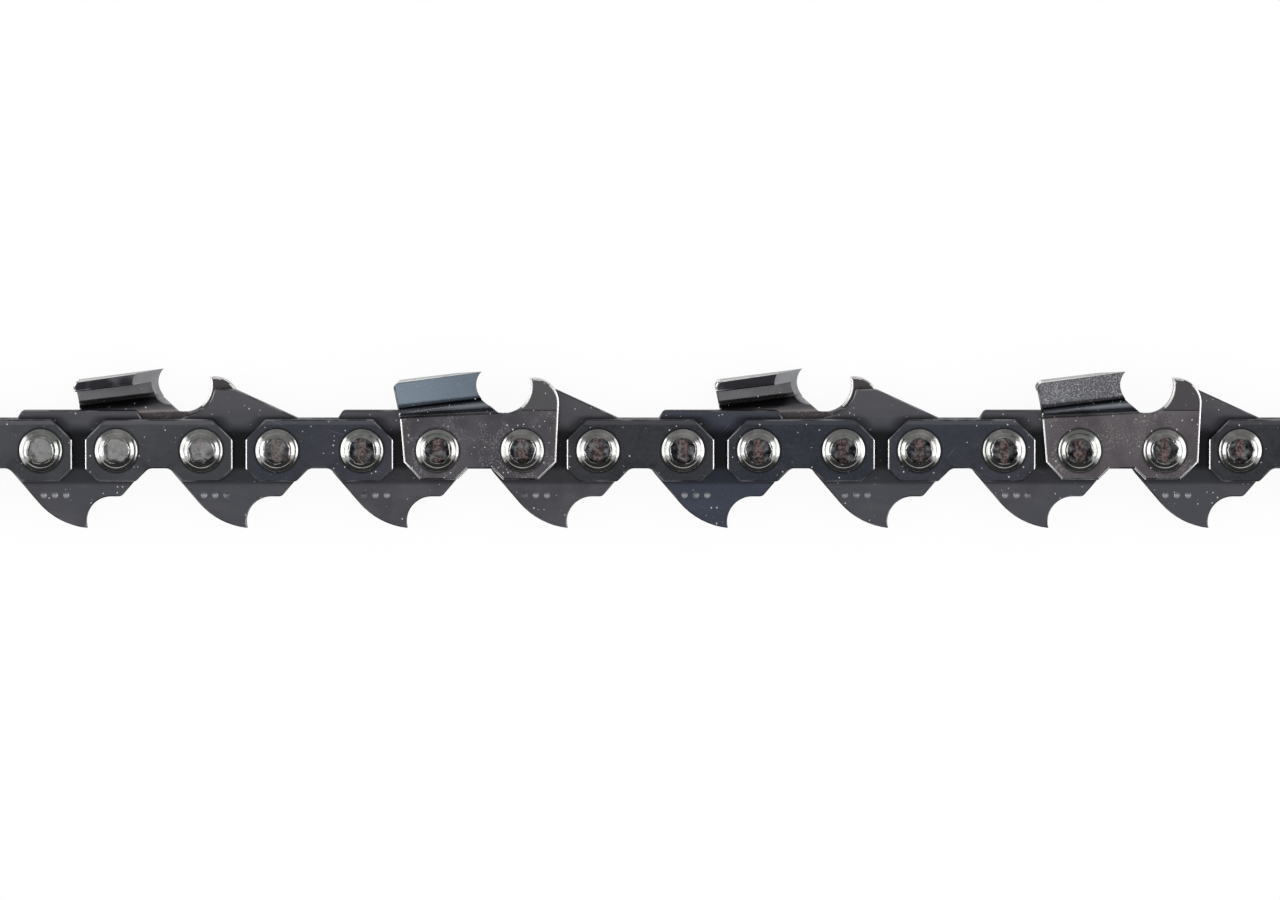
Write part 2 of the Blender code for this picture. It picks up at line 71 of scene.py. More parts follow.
class Wire:
    # One socket of a shader tree, so that masks are written as sums and products
    def __init__(self, tree, socket=None):
        self.tree = tree
        self.socket = socket

    def node(self, kind, settings, values, output=0):
        made = self.tree.nodes.new(kind)
        for name, setting in settings.items():
            if name == "stops":
                ramp = made.color_ramp
                while len(ramp.elements) < len(setting):
                    ramp.elements.new(0.5)
                for element, (position, color) in zip(ramp.elements, setting):
                    element.position = position
                    element.color = color
            else:
                setattr(made, name, setting)
        for name, value in values.items():
            if isinstance(value, Wire):
                self.tree.links.new(value.socket, made.inputs[name])
            else:
                made.inputs[name].default_value = value
        return Wire(self.tree, made.outputs[output])

    def maths(self, operation, first, second):
        return self.node("ShaderNodeMath", {"operation": operation}, {0: first, 1: second})

    def __add__(self, other):
        return self.maths("ADD", self, other)

    def __sub__(self, other):
        return self.maths("SUBTRACT", self, other)

    def __rsub__(self, other):
        return self.maths("SUBTRACT", other, self)

    def __mul__(self, other):
        return self.maths("MULTIPLY", self, other)

    def noise(self, scale, detail=2.0, rough=0.5):
        return self.node("ShaderNodeTexNoise", {}, {"Vector": self, "Scale": scale, "Detail": detail,
                                                    "Roughness": rough})

    def axis(self, name):
        split = self.node("ShaderNodeSeparateXYZ", {}, {"Vector": self})
        return Wire(self.tree, split.socket.node.outputs[name])

    def step(self, low, high):
        # 0 below low, 1 above high, smooth between
        return self.node("ShaderNodeMapRange", {"interpolation_type": "SMOOTHSTEP"},
                         {"Value": self, "From Min": low, "From Max": high})

    def turned(self, degrees, along, across):
        # The coordinates turned about Z and stretched, for streaks and scratches
        turn = (0, 0, math.radians(degrees))
        place = self.node("ShaderNodeMapping", {}, {"Vector": self, "Rotation": turn})
        return place.node("ShaderNodeMapping", {}, {"Vector": place, "Scale": (along, across, across)})

    def between(self, first, second):
        # This mask chooses between two colours
        return self.node("ShaderNodeMix", {"data_type": "RGBA"}, {0: self, 6: first, 7: second}, 2)


def tone(code):
    # Screen colour to scene colour
    parts = [int(code[i:i + 2], 16) / 255 for i in (0, 2, 4)]
    return (*[c / 12.92 if c <= 0.04045 else ((c + 0.055) / 1.055) ** 2.4 for c in parts], 1)


def newMaterial(name):
    material = bpy.data.materials.new(name)
    material.use_nodes = True
    tree = material.node_tree
    shader = tree.nodes["Principled BSDF"]
    place = Wire(tree).node("ShaderNodeTexCoord", {}, {}, "Object")
    return material, shader, place


def plug(shader, name, wire):
    wire.tree.links.new(wire.socket, shader.inputs[name])


def dustOn(place, share):
    # Specks of several sizes, in this share of the cells of a pattern
    cells = place.node("ShaderNodeTexVoronoi", {}, {"Vector": place, "Scale": 1600})
    lot = Wire(place.tree, cells.socket.node.outputs["Color"])
    speck = 1 - (cells - lot.axis("Y") * 0.12).step(0.02, 0.06)
    return speck * lot.axis("X").step(1 - share, 1.01 - share)


def rivetSpacing(place):
    # Distance along the row from the nearest rivet's axis
    across = place.axis("X")
    spacing = chain["halfPitch"] * mm
    half = chain["linkSpan"] / 2 * mm
    rear = across.maths("PINGPONG", across + half, spacing)
    front = across.maths("PINGPONG", across - half, spacing)
    return rear.maths("MINIMUM", rear, front)


# Where the painted highlight, the lighter tops and the painted shade lie on straps and drive links: starts
# and ends of soft steps in metres
linkMarks = {
    "lip": (0.00305, 0.00318),        # height of the painted highlight band below a strap's top edge
    "ramp": (0.0036, 0.0052),         # height over which the raised tops get lighter
    "gapShade": (0.0003, 0.0019),          # into the gap between two straps
    "gapTop": (0.0037, 0.0043),
    "beltShade": (0.0018, 0.0034),         # from the middle line
    "foot": (-0.0043, -0.0038),
    "footTop": (0.0016, 0.0030),
    "headRing": (0.00258, 0.0029),    # from a rivet's axis
    "chamferFrom": 0.0015,            # from the middle line
    "strapReach": 0.00076,
}
# tones of the painted shade between the plates and of the painted shadow round the rivets' heads
paintedShadeTone, headShadow = "06070b", "0c0c0f"


def fromRivets(place):
    near, up = rivetSpacing(place), place.axis("Y")
    return near.maths("POWER", near * near + up * up, 0.5)


def fromPlates(place):
    # Distance from the ends of the straps into the gap where a drive link shows between them
    across, up = place.axis("X"), place.axis("Y")
    spacing = chain["halfPitch"] * mm
    away = across.maths("PINGPONG", across + spacing, spacing)
    height = up.maths("ABSOLUTE", up, 0)
    chamfer = height.maths("MAXIMUM", height - linkMarks["chamferFrom"], 0)
    return chamfer + linkMarks["strapReach"] - away


def scratchesOn(place, degrees, share):
    # Short fine lines one way, in a few places
    lines = place.turned(degrees, 160, 6500).noise(1.0, 1.0)
    room = place.noise(230, 1.0).step(0.5, 0.62)
    return lines.step(0.80 - share, 0.84 - share) * room


def linkSteel(name, settings):
    material, shader, place = newMaterial(name)
    up = place.axis("Y")
    patches = place.noise(190, 4.0, 0.6).step(0.32, 0.68)
    tint = place.noise(55, 1.0).step(0.42, 0.6)
    smears = place.turned(8, 120, 420).noise(1.0, 3.0).step(0.5, 0.72)
    grain = place.noise(2600, 3.0)
    scratches = scratchesOn(place, 18, 0.07) + scratchesOn(place, -50, 0.06)
    dust = dustOn(place, settings["dust"])
    base = patches.between(tone(settings["dark"]), tone(settings["light"]))
    base = (tint * 0.7).between(base, tone(settings["tint"]))
    base = (smears * 0.4).between(base, tone(settings["smear"]))
    base = (grain.step(0.3, 0.7) * 0.2).between(base, tone(settings["grain"]))
    if settings["lipHighlightTone"]:      # painted highlight where the soft lip that the press leaves along the top edge catches the light
        lip = (up + place.noise(300, 1.0) * 0.0001).step(*linkMarks["lip"])
        base = (lip * 0.6).between(base, tone(settings["lipHighlightTone"]))
    if settings["ramp"]:      # the drive links get lighter towards their raised tops
        base = (up.step(*linkMarks["ramp"]) * 0.7).between(base, tone(settings["ramp"]))
    base = (scratches * 0.4).between(base, tone(settings["scratch"]))
    base = (dust * 0.75).between(base, tone("cbcacb"))
    if settings["paintedShade"]:   # painted shade in the gap between the straps' ends, along the middle row and round the straps' feet
        height = up.maths("ABSOLUTE", up, 0)
        gapShade = (1 - fromPlates(place).step(*linkMarks["gapShade"])) * (1 - height.step(*linkMarks["gapTop"]))
        beltShade = 1 - height.step(*linkMarks["beltShade"])
        foot = up.step(*linkMarks["foot"]) * (1 - up.step(*linkMarks["footTop"]))
        dark = gapShade.maths("MAXIMUM", gapShade * 0.55, beltShade * settings["paintedShade"])
        base = dark.maths("MAXIMUM", dark, foot * 0.5).between(base, tone(paintedShadeTone))
    else:                     # shadow line round the rivets' heads
        ring = 1 - fromRivets(place).step(*linkMarks["headRing"])
        base = (ring * 0.75).between(base, tone(headShadow))
    plug(shader, "Base Color", base)
    plug(shader, "Metallic", settings["metal"] - dust * 0.7)
    plug(shader, "Roughness", grain * 0.12 + patches * 0.08 + dust * 0.3 + settings["rough"])
    height = grain * 0.5 + scratches * -0.4 + place.noise(700, 2.0) * 0.8
    plug(shader, "Normal", place.node("ShaderNodeBump", {}, {"Strength": 0.16, "Distance": 0.00005,
                                                             "Height": height}))
    return material


def bareEdge(name, settings):
    # Oxide rubbed off a pressed edge, in broken runs; on the bright rims this is also a painted glint
    material, shader, place = newMaterial(name)
    runs = place.noise(380, 1.5).step(settings["start"], settings["start"] + 0.2)
    fine = place.noise(5200, 2.0)
    base = runs.between(tone(settings["dark"]), tone(settings["bright"]))
    base = (fine * 0.25).between(base, tone(settings["fine"]))
    plug(shader, "Base Color", base)
    shader.inputs["Metallic"].default_value = 1
    plug(shader, "Roughness", fine * 0.16 + settings["rough"])
    return material


# Marks on a cutter's camera side in metres, from its own rear rivet
cutterMarks = {
    "toothEnd": (0.0070, 0.0074),
    "bendSlope": 0.04,                # rise of the lower bend's line to one along the sheet
    "bendFoot": (0.0041, 0.0044),
    "bendStart": 0.00437,
    "bendHeight": 0.0014,             # over the rear rivet
    "bendGrowth": 0.085,              # more of it to one along the sheet
    "streakRise": 0.00025,
    "plateSlope": 0.125,              # of the side plate's lower line
    "plateFoot": (0.0056, 0.0058),
    "plateFade": (-0.0045, 0.0055),   # along the sheet, from the rear tone to the front one
    "gaugeRear": (0.0094, 0.0098),
    "gaugeFoot": (0.00468, 0.00474),
    "creaseTop": (0.00478, 0.00492),
}
cutterTones = {"scuff": "a3a09d", "scratch": "9a9791", "sparkle": "d0d2d4", "headShadow": "0e0d0f",
               "dust": "d2d0d0"}


def cutterSteel(name, settings, x):
    # Chromed sheet: grey body, painted bands of reflected light and shade across the bend, side plate in a
    # tone that paints its reflection, plain gauge
    material, shader, place = newMaterial(name)
    own = place.node("ShaderNodeMapping", {}, {"Vector": place, "Location": (-x * mm, 0, 0)})
    across, up = own.axis("X"), own.axis("Y")
    wobble = place.noise(260, 2.0) * 0.0003 - 0.00015
    tooth = 1 - across.step(*cutterMarks["toothEnd"])
    overBend = up - across * cutterMarks["bendSlope"]
    bend = (overBend + wobble).step(*cutterMarks["bendFoot"]) * tooth
    plate = (up - across * cutterMarks["plateSlope"] + wobble * 0.4).step(*cutterMarks["plateFoot"]) * tooth
    gauge = across.step(*cutterMarks["gaugeRear"]) * up.step(*cutterMarks["gaugeFoot"])
    # painted shading along the crease at the gauge's foot, where no fold is modelled: dark on near cutters,
    # light on far ones
    creaseShading = gauge * (1 - up.step(*cutterMarks["creaseTop"]))
    streaks = place.turned(-4, 60, 2400).noise(1.0, 1.0)
    grain = place.noise(3600, 3.0)
    patches = place.noise(240, 3.0).step(0.3, 0.7)
    scuffs = place.noise(330, 2.0).step(0.44, 0.64) * place.noise(5200, 2.0).step(0.5, 0.7)
    scratches = scratchesOn(place, 25, 0.08) + scratchesOn(place, -70, 0.08)
    dust = dustOn(place, settings["dust"])
    body = patches.between(tone(settings["body"]), tone(settings["bodyLight"]))
    body = (scuffs * settings["scuffs"]).between(body, tone(cutterTones["scuff"]))
    body = (scratches * 0.5).between(body, tone(cutterTones["scratch"]))
    body = gauge.between(body, tone(settings["gauge"]))
    body = (creaseShading * 0.8).between(body, tone(settings["creaseShading"]))
    # from the body up to the side plate, as parts of the bend's height, for painted bands of reflected light
    # and shade across the bend
    rise = overBend - cutterMarks["bendStart"] + streaks * cutterMarks["streakRise"]
    rise = rise.maths("DIVIDE", rise, across * cutterMarks["bendGrowth"] + cutterMarks["bendHeight"])
    stops = [(at, tone(code)) for at, code in settings["bend"]]
    bendLightAndShade = rise.node("ShaderNodeValToRGB", {"stops": stops}, {"Fac": rise})
    # painted reflection on the side plate: a lighter tone, bluish on the near cutters, that fades along the
    # sheet
    fade = across.step(*cutterMarks["plateFade"])
    paintedSidePlate = fade.between(tone(settings["plate"]), tone(settings["plateFront"]))
    paintedSidePlate = (place.noise(500, 3.0).step(0.4, 0.7) * 0.4).between(paintedSidePlate, tone(settings["plateTint"]))
    sparkle = place.noise(5600, 2.0).step(0.46, 0.68) * settings["sparkle"]
    paintedSidePlate = sparkle.between(paintedSidePlate, tone(cutterTones["sparkle"]))
    ring = 1 - fromRivets(place).step(*linkMarks["headRing"])
    body = (ring * 0.7).between(body, tone(cutterTones["headShadow"]))
    base = plate.between(bend.between(body, bendLightAndShade), paintedSidePlate)
    base = (dust * 0.8).between(base, tone(cutterTones["dust"]))
    plug(shader, "Base Color", base)
    plug(shader, "Metallic", 0.92 - dust * 0.7)
    plug(shader, "Roughness", grain * 0.12 + patches * 0.05 + dust * 0.3 + settings["rough"])
    height = grain * 0.5 + scratches * -0.5
    plug(shader, "Normal", place.node("ShaderNodeBump", {}, {"Strength": 0.14, "Distance": 0.00004,
                                                             "Height": height}))
    return material


def groundSteel(name):
    # Filed face: bright, with fine marks along the file's path
    material, shader, place = newMaterial(name)
    marks = place.turned(60, 300, 7000).noise(1.0, 2.0)
    broad = place.noise(500, 2.0)
    base = marks.between(tone("707174"), tone("9b9c9f"))
    base = (broad.step(0.4, 0.75) * 0.4).between(base, tone("6f6d6d"))
    plug(shader, "Base Color", base)
    shader.inputs["Metallic"].default_value = 1
    plug(shader, "Roughness", marks * 0.2 + 0.26)
    plug(shader, "Normal", place.node("ShaderNodeBump", {}, {"Strength": 0.25, "Distance": 0.00003,
                                                             "Height": marks}))
    return material


# A rivet head's marks in metres and tones
headMarks = {
    "inner": (0.00168, 0.00186),      # edge of the hammered middle, from the rivet's axis
    "ragged": 0.0005,
    "reflectionStrip": (0.00036, 0.00052),      # half width of the painted warm reflection strip across the middle
    "stripRagged": 0.0022,
    "rearPaler": (-0.058, -0.036),         # along the chain: the middles of the rear heads are paler
    "stains": [(0.38, "121115"), (0.47, "2f2e31"), (0.54, "525154"), (0.66, "767978")],
}


def rivetSteel(name):
    # Spun steel head: polished round the rim, dark, hammered and stained in the middle, with a painted warm
    # reflection strip across the middle
    material, shader, place = newMaterial(name)
    inner = 1 - (fromRivets(place) + place.noise(1100, 2.0) * headMarks["ragged"]).step(*headMarks["inner"])
    clouds = place.noise(620, 3.0)
    stains = place.noise(900, 4.0, 0.62)
    pits = place.noise(3800, 2.0)
    reflectionStrip = 1 - (rivetSpacing(place) + (stains - 0.5) * headMarks["stripRagged"]).step(*headMarks["reflectionStrip"])
    rearPaler = 1 - place.axis("X").step(*headMarks["rearPaler"])
    rim = clouds.step(0.35, 0.68).between(tone("959493"), tone("b9b8b6"))
    rim = (place.noise(210, 1.0).step(0.45, 0.6) * 0.3).between(rim, tone("97a097"))
    stops = [(at, tone(code)) for at, code in headMarks["stains"]]
    middle = stains.node("ShaderNodeValToRGB", {"stops": stops}, {"Fac": stains})
    # painted reflection: a warm pinkish strip across each head's middle
    warmReflectionTone = pits.step(0.4, 0.62).between(tone("3f3538"), tone("87726e"))
    middle = (reflectionStrip * 0.7).between(middle, warmReflectionTone)
    middle = (rearPaler * 0.6).between(middle, tone("a3a4a3"))
    base = inner.between(rim, middle)
    base = (pits.step(0.62, 0.72) * 0.4).between(base, tone("4d4a4a"))
    plug(shader, "Base Color", base)
    shader.inputs["Metallic"].default_value = 1
    plug(shader, "Roughness", clouds * 0.1 + pits * 0.06 + inner * 0.1 + 0.07)
    hammered = place.node("ShaderNodeTexVoronoi", {"feature": "SMOOTH_F1"}, {
        "Vector": place, "Scale": 1000, "Smoothness": 0.4})
    height = hammered * inner * 1.8 + clouds * 0.4 + stains * inner * 0.8
    plug(shader, "Normal", place.node("ShaderNodeBump", {}, {"Strength": 0.5, "Distance": 0.00012,
                                                             "Height": height}))
    return material


print("materials")
# Link tones: the lip tone is a painted highlight below a strap's top edge, and drive links carry painted
# shade between the plates at the given strength
gunmetal = {"dark": "3a3b3f", "light": "4f5055", "tint": "3f4144", "smear": "525257", "grain": "55555a",
            "scratch": "8d8c92", "lipHighlightTone": "66666a", "ramp": "", "paintedShade": 0, "dust": 0.55, "rough": 0.28,
            "metal": 0.85}
smoky = dict(gunmetal, dark="2b2c30", light="3e3f43", tint="303335", smear="434347", lipHighlightTone="525256")
bluish = dict(gunmetal, dark="303138", light="42434c", tint="363942", smear="46484f", lipHighlightTone="595a62")
navy = dict(gunmetal, dark="26282f", light="383a42", tint="2c303a", smear="3e424c", lipHighlightTone="4a4c55")
tangTones = dict(gunmetal, dark="444349", light="59585d", tint="4c4e54", smear="5e5d61", lipHighlightTone="",
                 ramp="58565a", paintedShade=0.88)
blued = dict(tangTones, dark="343640", light="434654", tint="3b4350", smear="4d5162", ramp="4c4d55")
steels = {name: linkSteel(name, tones) for name, tones in (
    ("strapSteel", gunmetal), ("smokyStrapSteel", smoky), ("bluishStrapSteel", bluish),
    ("navyStrapSteel", navy), ("driveLinkSteel", tangTones), ("bluedDriveLinkSteel", blued))}
strapFinish = {2: "bluishStrapSteel", 4: "smokyStrapSteel", 5: "navyStrapSteel", 6: "bluishStrapSteel",
               8: "smokyStrapSteel"}
bluedDrive = 5
# bright rims: bare steel where the oxide is rubbed off, and a near-white painted glint
rubbedEdgeAndGlint = bareEdge("rubbedEdgeAndGlint", {"dark": "a9a9ac", "bright": "f2f1ef", "fine": "d4d3d1", "start": 0.2,
                                     "rough": 0.24})
dullEdge = bareEdge("oxideEdge", {"dark": "47474c", "bright": "8a8a8f", "fine": "54545a", "start": 0.42,
                                  "rough": 0.3})
cutEdge = bareEdge("shearedEdge", {"dark": "323237", "bright": "68686d", "fine": "434347", "start": 0.54,
                                   "rough": 0.34})
punched = bareEdge("punchedSteel", {"dark": "66666b", "bright": "a6a6aa", "fine": "828286", "start": 0.3,
                                    "rough": 0.3})
# Cutter tones: the bend's stops are painted bands of reflected light and shade, the side plate's tones a
# painted reflection, and the crease tone painted shading of a fold
nearTones = {"body": "47454a", "bodyLight": "5a575c", "scuffs": 0.5, "creaseShading": "232226",
             "bend": [(0.02, "a7abb1"), (0.09, "45484f"), (0.30, "3d4149"), (0.44, "a2a9b4"),
                      (0.56, "cdd2d9"), (0.70, "7d8490"), (0.84, "343840"), (0.95, "121419")],
             "plate": "7b8894", "plateFront": "64707d", "plateTint": "75808d", "gauge": "555557",
             "sparkle": 0.05, "dust": 0.6, "rough": 0.2}
speckledTones = dict(nearTones, body="504c50", bodyLight="656063", plate="64646a", plateFront="56565c",
                     plateTint="5e5d63", sparkle=0.42, gauge="4e4c4e")
# far cutters: lighter painted bend bands, a grey painted side plate reflection and a light painted crease
# line
farTones = dict(nearTones, body="474345", bodyLight="564f51", scuffs=0.3, creaseShading="918e8e",
                bend=[(0.05, "9a9494"), (0.3, "77747a"), (0.6, "3a3b3f"), (0.9, "1e1f22")],
                plate="6c6b6e", plateFront="5a5a5d", plateTint="737174", gauge="4a4648", sparkle=0)
cutterFinishes = {pair: cutterSteel(f"chromedCutterSteel{pair}", tones, pairX(pair))
                  for pair, tones in ((1, farTones), (3, nearTones), (5, farTones), (7, speckledTones))}
filed = groundSteel("filedSteel")
headSteel = rivetSteel("spunRivetSteel")


# Drawing and cutting plates. Each plate's finishes come in this order.
flatSide, brightRim, cutWall, dullRim, punchedOrFiled = range(5)


def drawLoop(bm, start, strokes):
    # A closed line: a stroke of two numbers goes straight to a point, and one of three turns
    # about a centre by degrees
    pen = first = bm.verts.new((*start, 0))
    for stroke in strokes:
        if len(stroke) == 2:
            ahead = bm.verts.new((*stroke, 0))
            bm.edges.new((pen, ahead))
        else:
            x, y, degrees = stroke
            swept = bmesh.ops.spin(bm, geom=[pen], cent=(x, y, 0), axis=(0, 0, 1),
                                   angle=math.radians(degrees),
                                   steps=math.ceil(abs(degrees) / chain["arcStep"]))
            ahead = swept["geom_last"][0]
        pen = ahead
    bm.edges.new((pen, first))


def roundCorners(bm, corners):
    # corners: (x, y, distance from the corner at which its arc starts, segments)
    for x, y, reach, segments in corners:
        vert = min(bm.verts, key=lambda v: (v.co - Vector((x, y, 0))).length)
        bmesh.ops.bevel(bm, geom=[vert], offset=reach, segments=segments, profile=0.5,
                        affect="VERTICES", material=-1)


def holesIn(bm, places, radius):
    for x, y in places:
        bmesh.ops.create_circle(bm, segments=chain["holeSides"], radius=radius,
                                matrix=Matrix.Translation((x, y, 0)))


def breakEdges(bm, rims, width, segments, share):
    # Rounds these edges. Those facing along the chain, towards the side lamps, get the bright finish, partly
    # rubbed steel and partly a painted glint, and the others stay dull: share is how much of X a bright one's
    # direction needs, over Y
    broken = bmesh.ops.bevel(bm, geom=rims, offset=width, segments=segments, profile=0.5,
                             affect="EDGES", material=-1)
    bm.normal_update()
    for face in broken["faces"]:
        face.material_index = brightRim if abs(face.normal.x) > share * abs(face.normal.y) else dullRim


def thicken(bm, thick):
    # Fills the drawn loops and thickens them about z = 0
    bmesh.ops.triangle_fill(bm, edges=bm.edges[:], use_beauty=True, use_dissolve=False, normal=(0, 0, 1))
    bmesh.ops.translate(bm, verts=bm.verts[:], vec=(0, 0, -thick / 2))
    raised = bmesh.ops.extrude_face_region(bm, geom=bm.faces[:])
    bmesh.ops.translate(bm, verts=[g for g in raised["geom"] if isinstance(g, bmesh.types.BMVert)],
                        vec=(0, 0, thick))
    bmesh.ops.recalc_face_normals(bm, faces=bm.faces[:])


def thickPlate(bm, thick, edge):
    # A plate with sheared walls and broken edges
    thicken(bm, thick)
    for face in bm.faces:
        if abs(face.normal.z) < 0.5:
            face.material_index = cutWall
    rims = [e for e in bm.edges if len(e.link_faces) == 2 and e.calc_face_angle(0) > math.radians(70)
            and abs(e.verts[0].co.z - e.verts[1].co.z) < 1e-5]
    breakEdges(bm, rims, edge, 3, 2)


def meshFrom(bm, name):
    mesh = bpy.data.meshes.new(name)
    bm.to_mesh(mesh)
    bm.free()
    return mesh


def applied(thing):
    # The object's mesh with its modifiers; the object is removed
    bpy.context.view_layer.update()
    mesh = bpy.data.meshes.new_from_object(thing.evaluated_get(bpy.context.evaluated_depsgraph_get()))
    bpy.data.objects.remove(thing)
    return mesh


def tidied(mesh):
    # Doubles merged, flat faces joined again and all of them turned outwards
    bm = bmesh.new()
    bm.from_mesh(mesh)
    bmesh.ops.remove_doubles(bm, verts=bm.verts[:], dist=chain["weld"])
    bmesh.ops.dissolve_limit(bm, angle_limit=math.radians(0.4), verts=bm.verts[:], edges=bm.edges[:],
                             delimit={"MATERIAL"})
    bmesh.ops.recalc_face_normals(bm, faces=bm.faces[:])
    bm.to_mesh(mesh)
    bm.free()
    return mesh


def cut(mesh, tool, place, operation):
    pair = []
    for name, shape, where in (("work", mesh, Matrix.Identity(4)), ("tool", tool, place)):
        thing = bpy.data.objects.new(name, shape)
        thing.matrix_world = where
        bpy.context.scene.collection.objects.link(thing)
        pair.append(thing)
    boolean = pair[0].modifiers.new("Cut", "BOOLEAN")
    boolean.operation = operation
    boolean.object = pair[1]
    mesh = applied(pair[0])
    bpy.data.objects.remove(pair[1])
    return tidied(mesh)


def finishPiece(name, mesh, place, finishes, body, node):
    mesh = mesh.copy()
    mesh.name = name
    mesh.transform(Matrix.Scale(mm, 4) @ place)
    while len(mesh.materials) < len(finishes):
        mesh.materials.append(None)
    for number, finish in enumerate(finishes):
        mesh.materials[number] = finish
    mesh.shade_smooth()
    mesh.set_sharp_from_angle(angle=math.radians(50))
    piece = bpy.data.objects.new(name, mesh)
    bpy.context.scene.collection.objects.link(piece)
    weighted = piece.modifiers.new("Flat faces stay flat", "WEIGHTED_NORMAL")
    weighted.keep_sharp = True
    weighted.weight = 80
    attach(piece, body)
    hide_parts(node)


# Tie strap
strap = {
    "outline": [(-3.72, 1.3), (-3.72, -2.25), (-2.2, -3.7), (2.28, -3.7), (3.83, -2.15)],
    "topReach": 1.35,
    "top": 3.7,
    "waistRound": 0.414,      # where the waist's arcs start, from the corner
    "cornerRound": 0.2,
    "edge": 0.18,
}


def strapMesh():
    bm = bmesh.new()
    span = chain["linkSpan"]
    rear = strap["outline"]
    front = [(span - x, y) for x, y in reversed(rear)]
    start = (-strap["topReach"], strap["top"])
    drawLoop(bm, start, rear + front + [(span + strap["topReach"], strap["top"])])
    small = [(x, y, strap["cornerRound"], 3) for x, y in rear[:4] + front[1:] + [start]]
    small.append((span + strap["topReach"], strap["top"], strap["cornerRound"], 3))
    roundCorners(bm, small + [(*rear[4], strap["waistRound"], 8), (*front[0], strap["waistRound"], 8)])
    holesIn(bm, [(0, 0), (span, 0)], chain["plateHole"])
    thickPlate(bm, chain["plateThick"], strap["edge"])
    return meshFrom(bm, "tieStrap")


print("tie straps")
strapShape = strapMesh()


# Drive link
drive = {
    "thick": 1.6,
    "hole": 2.05,
    "edge": 0.14,
    "cornerRound": 0.3,
    # from the tang's front edge round its belly, tip, scoop and heel to the front end
    "start": (-3.348, -2.8704),
    "tang": [(-0.3756, -6.3372), (6.2292, -0.6745, 43.592), (8.2521, -8.57, -104.675), (9.45, -5.57),
             (11.995, -2.6055)],
    "supportTop": [(8.96, 0, 60.397), (11.86, 3.76), (11.26, 4.71), (-2.3, 4.71), (-2.9, 3.76),
                   (-3.7961, 2.2446), (0, 0, 71.204)],
    "supportCorners": [(9.45, -5.57), (11.86, 3.76), (11.26, 4.71), (-2.3, 4.71), (-2.9, 3.76)],
    "bumperTop": [(8.96, 0, 66.037), (11.66, 3.64), (3.9, 7.2), (1.4728, 7.2), (-2.24, 7.65, -79.841),
                  (0, 0, 103.229)],
    "bumperCorners": [(9.45, -5.57), (11.66, 3.64), (3.9, 7.2), (1.4728, 7.2)],
    "dots": [(0.2, -5.4), (1.55, -5.4), (2.9, -5.4)],     # plain punch marks
    "dotRadius": 0.37,
    "dotDepth": 0.08,
}


def punchMesh():
    # Balls whose caps dent the camera side of the tang
    bm = bmesh.new()
    radius, depth = drive["dotRadius"], drive["dotDepth"]
    ball = (radius ** 2 + depth ** 2) / (2 * depth)
    for x, y in drive["dots"]:
        bmesh.ops.create_uvsphere(bm, u_segments=32, v_segments=40, radius=ball, matrix=Matrix.Translation(
            (x, y, drive["thick"] / 2 + ball - depth)))
    for face in bm.faces:
        face.material_index = punchedOrFiled
    return meshFrom(bm, "punches")


def driveMesh(name, top, corners):
    bm = bmesh.new()
    drawLoop(bm, drive["start"], drive["tang"] + top)
    bmesh.ops.remove_doubles(bm, verts=bm.verts[:], dist=chain["penWeld"])
    roundCorners(bm, [(x, y, drive["cornerRound"], 3) for x, y in corners])
    holesIn(bm, [(0, 0), (driveSpan, 0)], drive["hole"])
    thickPlate(bm, drive["thick"], drive["edge"])
    return cut(meshFrom(bm, name), punchMesh(), Matrix.Identity(4), "DIFFERENCE")


print("drive links")
supportShape = driveMesh("supportDriveLink", drive["supportTop"], drive["supportCorners"])
bumperShape = driveMesh("bumperDriveLink", drive["bumperTop"], drive["bumperCorners"])


# Rivet
rivet = {
    "headTop": 3.05,
    "crown": (8.63, 9),       # radius and sweep of the flattish middle
    "shoulderTurn": (1.263, 41),
    # flange round the dome, down to the strap, then the shoulder and the hub
    "below": [(2.16, 2.49), (2.49, 2.336), (2.555, 2.28), (2.555, 2.24), (1.5, 2.24), (1.5, 0.85),
              (2.0, 0.85), (2.0, 0)],
    "sides": 64,
}


def rivetMesh():
    bm = bmesh.new()
    pen = bm.verts.new((0, 0, rivet["headTop"]))
    lean = 0
    for (radius, degrees), steps in ((rivet["crown"], 4), (rivet["shoulderTurn"], 10)):
        centre = pen.co - radius * Vector((math.sin(lean), 0, math.cos(lean)))
        swept = bmesh.ops.spin(bm, geom=[pen], cent=centre, axis=(0, 1, 0), angle=math.radians(degrees),
                               steps=steps)
        pen = swept["geom_last"][0]
        lean += math.radians(degrees)
    for r, h in rivet["below"]:
        ahead = bm.verts.new((r, 0, h))
        bm.edges.new((pen, ahead))
        pen = ahead
    bmesh.ops.mirror(bm, geom=bm.verts[:] + bm.edges[:], axis="Z", merge_dist=0.001)
    bmesh.ops.spin(bm, geom=bm.verts[:] + bm.edges[:], cent=(0, 0, 0), axis=(0, 0, 1),
                   angle=math.tau, steps=rivet["sides"], use_merge=True)
    bmesh.ops.remove_doubles(bm, verts=bm.verts[:], dist=chain["weld"])
    bmesh.ops.recalc_face_normals(bm, faces=bm.faces[:])
    return meshFrom(bm, "rivet")


print("rivets")
rivetShape = rivetMesh()


